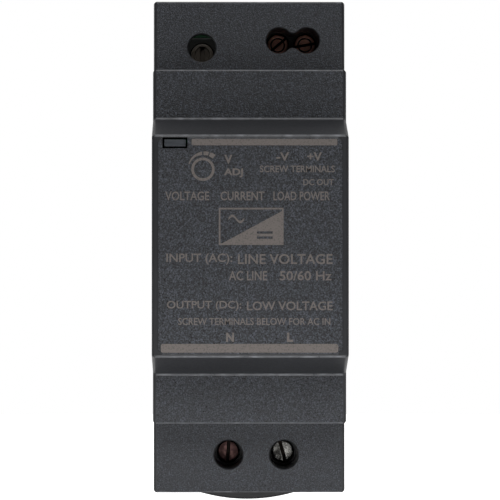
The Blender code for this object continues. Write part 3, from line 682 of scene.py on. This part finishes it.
def on_painted_edge_highlight(centre, normal):
    """Whether a face is on a band of a step's rounding or root fillet, turned partly up or down, that is
    painted lighter as a highlight.
    """
    if abs(normal.x) > 0.1 or not 0.45 < abs(normal.y) < 0.97:
        return False
    corners = stepped_outline(0, SPLIT_Y)
    return any(math.hypot(centre.y - y, centre.z - z) < 1.5 * EDGE for y, z in corners)


def case_face(centre, normal):
    """2 on the bands of the step roundings and root fillets that are painted lighter as highlights, 1 on the
    textured faces of the case, 0 on the satin ones.
    """
    if on_painted_edge_highlight(centre, normal):
        return 2
    front = normal.y < -0.98 and centre.z**2 < (HALF_HEIGHT - 0.3) ** 2
    rim = abs(centre.y - NOSE_Y) < 0.02
    inside = centre.y > SHOULDER_Y + 0.5
    side = abs(normal.x) > 0.98 and abs(centre.x) > HALF_WIDTH - 0.1
    return 1 if side or (front and not rim and not inside) else 0


def front_housing():
    """The hollow front half of the case, with its steps, holes, vents and panel."""
    outer = prism(stepped_outline(0, SPLIT_Y), "X", -HALF_WIDTH, HALF_WIDTH)
    bevel_where(outer, lambda e: bent(e) and not along_x(e), SIDE_EDGE, 5)
    bevel_where(outer, lambda e: bent(e, 25) and along_x(e) and e.is_convex, EDGE, 4)
    bevel_where(outer, lambda e: bent(e, 25) and along_x(e) and not e.is_convex, ROOT_FILLET, 3)
    made = as_object("housing_shell", outer)
    cavity = prism(stepped_outline(WALL, SPLIT_Y + OVER), "X", -INNER_X, INNER_X)
    combine(made, "DIFFERENCE", cavity)
    for tube in screw_sleeves():
        combine(made, "UNION", tube)
    openings = [*wire_entries(), *vent_slots(), *snap_windows()]
    for cutter in [*screw_bores(), *openings, panel_field(), status_window()]:
        combine(made, "DIFFERENCE", cutter)
    # The third slot paints highlights on the roundings of the steps.
    set_materials(made, [SATIN, TEXTURED, EDGE_HIGHLIGHT_PAINT], case_face)
    smooth(made)
    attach(made, "case")
    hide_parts("front_housing")


# ------------------------------------------------------ legends on the front


def arc(x, z, inner, outer, start, end, steps=48):
    """A curved band as an outline. inner is a radius; outer is one too, or a function of the way along."""
    shares = [i / steps for i in range(steps + 1)]

    def point(radius, share):
        reach = radius(share) if callable(radius) else radius
        t = math.radians(start + (end - start) * share)
        return x + reach * math.cos(t), z + reach * math.sin(t)

    outside = [point(outer, share) for share in shares]
    return outside + [point(inner, share) for share in reversed(shares)]


def printed(outline):
    """An outline as a film of ink on the floor of the panel's field."""
    return prism(outline, "Y", INK_TOP_Y, INK_TOP_Y + INK_DEPTH)


def lettering(words, x0, x1, z0, z1, weight=0.014):
    """A line of plain letters that fills a rectangle. weight thickens the strokes, per unit of type size."""
    data = bpy.data.curves.new("letters", "FONT")
    data.body = words
    data.offset = weight
    data.extrude = 0.5
    data.resolution_u = 3
    made = bpy.data.objects.new("letters", data)
    bpy.context.scene.collection.objects.link(made)
    bpy.context.view_layer.update()
    graph = bpy.context.evaluated_depsgraph_get()
    mesh = bpy.data.meshes.new_from_object(made.evaluated_get(graph))
    bm = bmesh.new()
    bm.from_mesh(mesh)
    bpy.data.objects.remove(made)
    bpy.data.meshes.remove(mesh)
    low = Vector([min(v.co[i] for v in bm.verts) for i in range(3)])
    high = Vector([max(v.co[i] for v in bm.verts) for i in range(3)])
    for vert in bm.verts:
        share = [(vert.co[i] - low[i]) / (high[i] - low[i]) for i in range(3)]
        x = x0 + (x1 - x0) * share[0]
        z = z0 + (z1 - z0) * share[1]
        vert.co = Vector((x, INK_TOP_Y + INK_DEPTH * (1 - share[2]), z)) * MM
    return bm


def converter_symbol(x0, x1, z0, z1):
    """The plain sign of a converter: a box split by a diagonal, alternating above and direct below."""
    line = 0.3
    half = 1.4  # half length of both signs
    swing = 0.55
    half_stroke = 0.22
    sides = [
        slab(x0, x1, z0, z0 + line, 0.05, steps=1),
        slab(x0, x1, z1 - line, z1, 0.05, steps=1),
        slab(x0, x0 + line, z0 + line, z1 - line, 0.05, steps=1),
        slab(x1 - line, x1, z0 + line, z1 - line, 0.05, steps=1),
    ]
    wave = []
    steps = 24
    wave_x, wave_z = x0 + 0.27 * (x1 - x0), z0 + 0.70 * (z1 - z0)
    for side in (1, -1):
        for i in range(steps + 1):
            share = i / steps if side == 1 else 1 - i / steps
            height = swing * math.sin(2 * math.pi * share)
            wave.append((wave_x + half * (2 * share - 1), wave_z + height + side * half_stroke))
    inner = [(x0 + 2 * line, z0 + line), (x1 - line, z0 + line), (x1 - line, z1 - 2 * line)]
    direct = as_object("direct_half", printed(inner))
    direct_x, direct_z = x0 + 0.71 * (x1 - x0), z0 + 0.27 * (z1 - z0)
    for z in (direct_z + 0.22, direct_z - 0.68):
        bar = box((direct_x - half, NOSE_Y - OVER, z), (direct_x + half, NOSE_Y + OVER, z + 0.42))
        combine(direct, "DIFFERENCE", bar)
    filled = bmesh.new()
    filled.from_mesh(direct.data)
    bpy.data.objects.remove(direct)
    return [*[printed(side) for side in sides], printed(wave), filled]


def dial_mark():
    """A ring, and a band around it that widens clockwise."""
    x, z = DIAL
    ring = [printed(arc(x, z, 1.6, 2.07, turn, turn + 180)) for turn in (0, 180)]
    band_inner, band_start, band_end = 2.55, 2.72, 3.4
    spans = ((160, 93), (88, 70), (66, 48))
    first, last = spans[0][0], spans[-1][1]

    def outer_between(start, end):
        def outer(share):
            passed = (first - (start + (end - start) * share)) / (first - last)
            return band_start + (band_end - band_start) * passed
        return outer

    band = [printed(arc(x, z, band_inner, outer_between(a, b), a, b, 16)) for a, b in spans]
    return ring + band


def legends():
    """What is printed on the front panel: plain words for what each terminal and control does."""
    shapes = [
        printed(slab(-10.42, 15.45, 17.88, 19.03, 0.2, steps=2)),
        printed(slab(-15.87, 15.6, -18.91, -17.35, 0.35, steps=2)),
        *dial_mark(),
        *converter_symbol(-5.6, 5.9, 0.2, 6.8),
    ]
    words = [
        ("V", -4.6, -3.2, 14.6, 16.2, 0.035),
        ("ADJ", -4.7, -1.3, 12.2, 13.8, 0.035),
        ("-V", 4.6, 6.9, 15.15, 16.65, 0.025),
        ("+V", 10.1, 12.7, 15.15, 16.65, 0.025),
        ("SCREW TERMINALS", 1.7, 15.0, 13.1, 14.3),
        ("DC OUT", 9.4, 14.8, 10.8, 11.9),
        ("VOLTAGE", -15.1, -7.3, 8.1, 9.7),
        ("CURRENT", -5.3, 2.5, 8.1, 9.7),
        ("LOAD POWER", 4.1, 14.1, 8.1, 9.7),
        ("INPUT (AC):", -14.9, -3.2, -3.3, -1.3),
        ("LINE VOLTAGE", -2.2, 14.6, -3.2, -1.4),
        ("AC LINE", -3.8, 3.0, -6.1, -4.4),
        ("50/60 Hz", 5.2, 14.4, -6.1, -4.4),
        ("OUTPUT (DC):", -14.8, -1.6, -11.5, -9.7),
        ("LOW VOLTAGE", -0.6, 14.6, -11.4, -9.8),
        ("SCREW TERMINALS BELOW FOR AC IN", -12.8, 14.2, -14.0, -12.75),
        ("N", -4.3, -2.9, -17.0, -15.35, 0.045),
        ("L", 6.5, 7.6, -17.0, -15.35, 0.045),
    ]
    shapes += [lettering(*line) for line in words]
    made = as_object("panel_legends", together(*shapes))
    set_materials(made, [INK])
    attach(made, "case")


# --------------------------------------------------------- screws and trimmer


def driver_slot(half_width, floor_y, top_y, reach, turn=0):
    """Cutter for a screwdriver slot along Z with a chamfered mouth, turned about Y by degrees."""
    lip_y = top_y + 0.06
    outline = [
        (-half_width, floor_y), (half_width, floor_y), (half_width, lip_y),
        (half_width + OVER, lip_y - OVER), (-half_width - OVER, lip_y - OVER), (-half_width, lip_y),
    ]
    cutter = prism(outline, "Z", -reach, reach)
    bmesh.ops.rotate(cutter, matrix=Matrix.Rotation(math.radians(turn), 3, "Y"), verts=cutter.verts)
    return cutter


def in_recess(centre, normal):
    """1 inside the slot and the ring of a screw head, which get a dark metal as painted shade; 0 elsewhere.
    """
    deep = HEAD_TOP_Y + 0.08 < centre.y < HEAD_TOP_Y + SLOT_DEPTH + 0.1
    return 1 if deep and math.hypot(centre.x, centre.z) < HEAD_RADIUS - 0.35 else 0


def terminal_screw(node, slot_turn, slot_half, ringed, surface):
    """A slotted cheese-head screw with a threaded shank. A ringed head has a groove around its middle."""
    ring_in, ring_out = RING_RADII
    ring_floor = HEAD_TOP_Y + RING_DEPTH
    groove = [
        (ring_in, HEAD_TOP_Y), (ring_in + 0.04, ring_floor),
        (ring_out - 0.04, ring_floor), (ring_out, HEAD_TOP_Y),
    ]
    profile = [(0, HEAD_TOP_Y), *(groove if ringed else [])]
    for i in range(5):
        t = math.pi / 2 * i / 4
        radius = HEAD_RADIUS - HEAD_ROUND * (1 - math.sin(t))
        profile.append((radius, HEAD_TOP_Y + HEAD_ROUND * (1 - math.cos(t))))
    profile += [
        (HEAD_RADIUS, HEAD_UNDER_Y - 0.08), (HEAD_RADIUS - 0.08, HEAD_UNDER_Y), (SHANK_RADIUS, HEAD_UNDER_Y)
    ]
    y = HEAD_UNDER_Y + THREAD_PITCH
    while y < SHANK_TIP_Y - 0.6:
        profile += [(SHANK_RADIUS, y), (SHANK_RADIUS - THREAD_DEPTH, y + THREAD_PITCH / 2)]
        y += THREAD_PITCH
    profile += [(SHANK_RADIUS, SHANK_TIP_Y - 0.4), (SHANK_RADIUS - 0.4, SHANK_TIP_Y), (0, SHANK_TIP_Y)]
    made = as_object(node + "_turned", lathe(profile, 96))
    combine(made, "DIFFERENCE", driver_slot(slot_half, HEAD_TOP_Y + SLOT_DEPTH, HEAD_TOP_Y, 3, slot_turn))
    # The slot and ring get the dark metal: painted shade.
    set_materials(made, [surface, RECESS_SHADE], in_recess)
    x, z = centre_of(node)
    made.data.transform(Matrix.Translation(Vector((x, 0, z)) * MM))
    smooth(made)
    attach(made, node)
    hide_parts(node)


def screws():
    """Coppered screws with ringed heads at the output, one browned and one bright screw at the input."""
    terminal_screw("output_screw_negative", 50, 0.22, True, COPPERED)
    terminal_screw("output_screw_positive", 80, 0.22, True, COPPERED)
    terminal_screw("input_screw_neutral", 4, 0.3, False, BROWNED)
    terminal_screw("input_screw_line", -16, 0.3, False, BRIGHT)


def trimmer_rotor():
    """The rotor of the trimmer, with a slot in its dished top."""
    dish = [(0, ROTOR_TOP_Y), (1.35, ROTOR_TOP_Y), (1.5, ROTOR_RIM_Y)]
    rim = [(1.9, ROTOR_RIM_Y), (ROTOR_RADIUS - 0.05, ROTOR_RIM_Y + 0.08), (ROTOR_RADIUS, ROTOR_TOP_Y)]
    under = [(ROTOR_RADIUS, ROTOR_BOTTOM_Y), (0, ROTOR_BOTTOM_Y)]
    made = as_object("trimmer_rotor_turned", lathe(dish + rim + under, 72))
    combine(made, "DIFFERENCE", driver_slot(0.4, ROTOR_TOP_Y + 0.75, ROTOR_TOP_Y, 1.6))
    x, z = TRIMMER
    made.data.transform(Matrix.Translation(Vector((x, 0, z)) * MM))
    # The darkened ivory paints in the shade of the deep hole.
    set_materials(made, [SHADED_IVORY])
    smooth(made)
    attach(made, "adjuster")
    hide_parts("trimmer_rotor")


def window_lens():
    """The light guide whose polished front end fills the status window."""
    low, high = span("light_pipe")
    made = as_object("window_lens", box(low, high))
    bm = bmesh.new()
    bm.from_mesh(made.data)
    bevel_where(bm, bent, 0.18, 3)
    bm.to_mesh(made.data)
    bm.free()
    set_materials(made, [LENS])
    smooth(made)
    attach(made, "case")
    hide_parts("light_pipe")


# ---------------------------------------------------------- rear base and latch


def hook_outline(side, root, slope):
    """A hook over the rail's edge, above it (1) or below it (-1), as (y, z) points from its root."""
    tip = side * (RAIL_HALF - HOOK_REACH)
    heel = root + side * 0.5
    return [
        (HOOK_GAP, heel), (HOOK_GAP, tip + side * 0.15), (HOOK_GAP + 0.15, tip), (HOOK_GAP + 0.7, tip),
        (HOOK_BACK_Y, root - side * slope), (HOOK_BACK_Y, heel),
    ]


def rear_base():
    """The back half of the case: rail seat, fixed hook, latch guide, board posts and snap tabs."""
    outer = box((-HALF_WIDTH, SPLIT_Y, -HALF_HEIGHT), (HALF_WIDTH, REAR_Y, HALF_HEIGHT))
    bevel_where(outer, lambda e: bent(e) and not along_x(e), SIDE_EDGE, 5)
    bevel_where(outer, lambda e: bent(e, 25) and along_x(e), EDGE, 4)
    made = as_object("rear_base_shell", outer)
    start = SPLIT_Y - OVER
    guide_x = LATCH_HALF_WIDTH + 2.1
    back = REAR_Y - WALL
    wide = HALF_WIDTH + OVER
    low = -HALF_HEIGHT - OVER
    slot_half = LATCH_HALF_WIDTH + GAP
    rib_half = LATCH_RIB_HALF_WIDTH + GAP
    room = [
        box((-INNER_X, start, -16.0), (INNER_X, SEAT_FLOOR_Y, 19.6)),
        box((-INNER_X, start, 19.5), (INNER_X, back, INNER_Z)),
        box((-INNER_X, start, -INNER_Z), (INNER_X, GUIDE_FLOOR_Y, -15.9)),
        box((-INNER_X, GUIDE_FLOOR_Y - 0.1, -INNER_Z), (-guide_x, back, GUIDE_TOP_Z)),
        box((guide_x, GUIDE_FLOOR_Y - 0.1, -INNER_Z), (INNER_X, back, GUIDE_TOP_Z)),
    ]
    rail_channel = [
        box((-wide, 0, CHANNEL_BOTTOM), (wide, REAR_Y + OVER, CHANNEL_TOP)),
        box((-wide, -0.4, SEAT_HALF), (wide, 0.1, CHANNEL_TOP)),
        box((-wide, -0.4, CHANNEL_BOTTOM), (wide, 0.1, -SEAT_HALF)),
    ]
    latch_guide = [
        box((-slot_half, LATCH_FLOOR_Y, low), (slot_half, LATCH_LIP_Y, CHANNEL_BOTTOM + OVER)),
        box((-rib_half, LATCH_LIP_Y - 0.1, low), (rib_half, REAR_Y + OVER, CHANNEL_BOTTOM + OVER)),
    ]
    for cutter in room + rail_channel + latch_guide:
        combine(made, "DIFFERENCE", cutter)
    hook_half = HALF_WIDTH - 1.2
    adds = [
        prism(hook_outline(1, CHANNEL_TOP, 0.4), "X", -hook_half, hook_half),
        box((-2.3, LATCH_FLOOR_Y - 0.5, SPRING_BOTTOM_Z - 2.0), (2.3, 4.5, SPRING_BOTTOM_Z)),
    ]
    tab_in, tab_out = SNAP_TAB_X
    tab_top, tab_root = SNAP_TAB_Y
    barb = [(15.3, -10.4), (16.75, -8.85), (16.9, -8.65), (16.9, -8.3), (15.3, -8.3)]
    for side in (-1, 1):
        tab = sorted((side * tab_in, side * tab_out))
        root = sorted((side * tab_in, side * (INNER_X + 0.8)))
        for z in (-TAB_Z, TAB_Z):
            z0, z1 = z - SNAP_TAB_HALF, z + SNAP_TAB_HALF
            adds.append(box((tab[0], tab_top, z0), (tab[1], tab_root, z1)))
            adds.append(box((root[0], SPLIT_Y + GAP, z0), (root[1], tab_root, z1)))
            adds.append(prism([(side * x, y) for x, y in barb], "Z", z0 + 0.6, z1 - 0.6))
        for z, end in ((7.0, SEAT_FLOOR_Y + 0.5), (40.4, back + 0.5), (-40.4, back + 0.5)):
            adds.append(rod(side * POST_X, z, POST_RADIUS, POST_TOP_Y, end, 32))
    for extra in adds:
        combine(made, "UNION", extra)
    set_materials(made, [SATIN, TEXTURED], base_face)
    soften(made, 0.12)
    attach(made, "case")
    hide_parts("rear_base")


def base_face(centre, normal):
    """1 on the textured outer sides of the base, 0 elsewhere."""
    return 1 if abs(normal.x) > 0.98 and abs(centre.x) > HALF_WIDTH - 0.1 else 0


def soften(made, width):
    """Small roundings along every sharp edge, then smooth shading."""
    modifier = made.modifiers.new("rounding", "BEVEL")
    modifier.width = width * MM
    modifier.segments = 2
    modifier.limit_method = "ANGLE"
    modifier.angle_limit = math.radians(40)
    modifier.use_clamp_overlap = True
    apply_modifiers(made)
    smooth(made)


def foot_outline(inset=0.0):
    """The pull foot seen from the back: straight sides and a bowed lower edge, as (x, z) points."""
    centre_z = LATCH_LOW_Z + FOOT_RADIUS
    half = FOOT_HALF_WIDTH - inset
    radius = FOOT_RADIUS - inset
    half_angle = math.asin(half / radius)
    steps = 40
    outline = [(-half, -HALF_HEIGHT - GAP)]
    for i in range(steps + 1):
        t = half_angle * (2 * i / steps - 1)
        outline.append((radius * math.sin(t), centre_z - radius * math.cos(t)))
    return outline + [(half, -HALF_HEIGHT - GAP)]


def rail_latch():
    """The sliding latch with its hook and its pull foot."""
    top = CHANNEL_BOTTOM - 0.1
    bottom = -HALF_HEIGHT - 1.0
    floor_y = LATCH_FLOOR_Y + GAP
    back = REAR_Y - 0.2
    plate = box((-LATCH_HALF_WIDTH, floor_y, bottom), (LATCH_HALF_WIDTH, LATCH_LIP_Y - GAP, top))
    made = as_object("latch_slider", plate)
    front = 0.8
    lip = 0.3
    stations = (
        (front, lip), (front + 0.09, 0.13), (front + lip, 0.0),
        (back - lip, 0.0), (back - 0.09, 0.13), (back, lip),
    )
    adds = [
        box((-LATCH_RIB_HALF_WIDTH, floor_y + 0.5, bottom), (LATCH_RIB_HALF_WIDTH, back, top)),
        prism(hook_outline(-1, top, 0.6), "X", -LATCH_RIB_HALF_WIDTH, LATCH_RIB_HALF_WIDTH),
        loft([[(x, y, z) for x, z in foot_outline(inset)] for y, inset in stations]),
    ]
    for extra in adds:
        combine(made, "UNION", extra)
    spring_window = box((-2.6, 0, SPRING_BOTTOM_Z - 2.3), (2.6, REAR_Y + OVER, SPRING_TOP_Z))
    driver_notch = box((-3.2, 1.9, LATCH_LOW_Z - OVER), (3.2, 3.5, -HALF_HEIGHT + 1.5))
    grip_grooves = [
        prism([(REAR_Y, z - 0.35), (REAR_Y - 0.75, z), (REAR_Y, z + 0.35)], "X", -5.0, 5.0)
        for z in (-20.6, -22.0, -23.4)
    ]
    for cutter in [spring_window, driver_notch, *grip_grooves]:
        combine(made, "DIFFERENCE", cutter)
    set_materials(made, [LATCH_PLASTIC])
    soften(made, 0.1)
    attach(made, "latch")
    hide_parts("rail_latch")


# ------------------------------------------------------------ inside the case


def inside():
    """Surfaces for the pieces that keep their shape."""
    kept = {
        "latch_spring": SPRING_STEEL,
        "main_board": LAMINATE,
        # Near black for the trimmer body: painted shade deep below its hole.
        "trimmer_body": moulded("trimmer_body_painted_shade", (0.012, 0.014, 0.012)),
        "status_led": moulded("led_epoxy", (0.25, 0.45, 0.25), 0.25),
        "x_capacitor": moulded("film_yellow", (0.65, 0.42, 0.05), 0.45),
        "y_capacitor": moulded("disc_blue", (0.05, 0.15, 0.5), 0.35),
        "transformer_winding": wound("yellow_tape", (0.65, 0.45, 0.06), (0.5, 0.33, 0.04)),
        "line_choke_ring": wound("copper_winding", (0.75, 0.3, 0.12), (0.35, 0.12, 0.05)),
        "output_inductor": moulded("drum_core", (0.05, 0.05, 0.055), 0.6),
    }
    epoxy = moulded("dark_epoxy", (0.03, 0.03, 0.032), 0.55)
    black = moulded("black_nylon", (0.008, 0.008, 0.009), 0.55)
    ferrite = moulded("ferrite", (0.06, 0.06, 0.065), 0.7, 0.25, 0.02)
    sleeve = moulded("capacitor_sleeve", (0.02, 0.025, 0.05), 0.35)
    fins = metal("heat_sink_aluminium", (0.72, 0.72, 0.74), 0.3)
    plated = metal("cage_plating", (0.5, 0.48, 0.44), 0.3)
    tinned = metal("contact_tin", (0.7, 0.6, 0.5), 0.3)
    packages = (
        "input_fuse", "inrush_thermistor", "bridge_rectifier", "switching_transistor", "output_diode",
        "optocoupler", "controller_chip",
    )
    groups = [
        (epoxy, packages),
        (black, ("output_terminal_block", "input_terminal_block", "line_choke_base", "transformer_bobbin")),
        (ferrite, ("transformer_core_front", "transformer_core_rear")),
        (sleeve, ("bulk_capacitor", "output_capacitor_a", "output_capacitor_b")),
        (fins, ("transistor_heat_sink", "diode_heat_sink")),
        (plated, [name for name in frame["nodes"] if "_cage_" in name]),
        (tinned, [name for name in frame["nodes"] if "_contact_" in name]),
    ]
    for surface, names in groups:
        kept.update({name: surface for name in names})
    for name, surface in kept.items():
        set_materials(frame["nodes"][name], [surface])


# --------------------------------------------------------- camera and studio


def put(made, spot, aim):
    """Places a camera or light at a spot and points it at another."""
    made.location = Vector(spot) * MM
    made.rotation_euler = (Vector(aim) - Vector(spot)).to_track_quat("-Z", "Y").to_euler()


def camera():
    """In front of the case, a little to the left of it and below its middle, far away."""
    data = bpy.data.cameras.new("camera")
    data.sensor_width = 36.0
    data.lens = LENS_LENGTH
    data.dof.use_dof = False
    data.clip_end = 10.0
    made = bpy.data.objects.new("camera", data)
    bpy.context.scene.collection.objects.link(made)
    put(made, CAMERA_EYE, CAMERA_AIM)
    bpy.context.scene.camera = made


def area_light(name, spot, aim, width, height, power):
    """A rectangular light the camera doesn't see."""
    data = bpy.data.lights.new(name, "AREA")
    data.shape = "RECTANGLE"
    data.size = width * MM
    data.size_y = height * MM
    data.energy = power
    made = bpy.data.objects.new(name, data)
    put(made, spot, aim)
    made.visible_camera = False
    bpy.context.scene.collection.objects.link(made)


def world():
    """A surround the camera sees as white, which gives light from above and below but little from level."""
    made = bpy.data.worlds.new("studio")
    bpy.context.scene.world = made
    made.use_nodes = True
    tree = made.node_tree
    background = tree.nodes["Background"]
    background.inputs["Color"].default_value = (1, 1, 1, 1)
    direction = tree.nodes.new("ShaderNodeTexCoord")
    parts = tree.nodes.new("ShaderNodeSeparateXYZ")
    tree.links.new(direction.outputs["Generated"], parts.inputs["Vector"])
    steep = tree.nodes.new("ShaderNodeMath")
    steep.operation = "ABSOLUTE"
    tree.links.new(parts.outputs["Z"], steep.inputs[0])
    glow = tree.nodes.new("ShaderNodeMapRange")
    set_range(glow, LEVEL, STEEP, SKY_LEVEL, SKY)
    tree.links.new(steep.outputs["Value"], glow.inputs["Value"])
    path = tree.nodes.new("ShaderNodeLightPath")
    strength = tree.nodes.new("ShaderNodeMath")
    strength.operation = "MAXIMUM"
    tree.links.new(path.outputs["Is Camera Ray"], strength.inputs[0])
    tree.links.new(glow.outputs["Result"], strength.inputs[1])
    tree.links.new(strength.outputs["Value"], background.inputs["Strength"])


def floor():
    """A round sheet of pale paper, lit so brightly that hardly any shadow shows."""
    nodes = Nodes("floor_paper")
    sheet = prism(circle(0, 0, FLOOR_RADIUS, 96), "Z", FLOOR_Z - 1, FLOOR_Z)
    made = as_object("floor", sheet)
    path = nodes.add("ShaderNodeLightPath")
    glow = nodes.range(path.outputs["Is Camera Ray"], 0, 1, FLOOR_GLOW, FLOOR_SEEN)
    nodes.link(glow, nodes.shader, "Emission Strength")
    nodes.shader.inputs["Emission Color"].default_value = (1, 1, 1, 1)
    made.data.materials.append(nodes.finish((0.8, 0.8, 0.8), 0.9))


def studio():
    """A large soft light above the camera, a soft one behind each side, and a strip low in front."""
    area_light("key", (0, -750, 550), (0, -20, 0), 900, 400, KEY_POWER)
    for side in (-1, 1):
        area_light("back_fill", (550 * side, 450, 300), (0, 0, 0), 500, 400, FILL_POWER)
    area_light("bounce_card", (0, -85, -46), (0, -40, -34), 140, 6, CARD_POWER)
    world()
    floor()


# ---------------------------------------------------------------- the scene

front_housing()
rear_base()
rail_latch()
screws()
trimmer_rotor()
window_lens()
legends()
inside()
camera()
studio()
bpy.context.scene.view_settings.view_transform = "Standard"
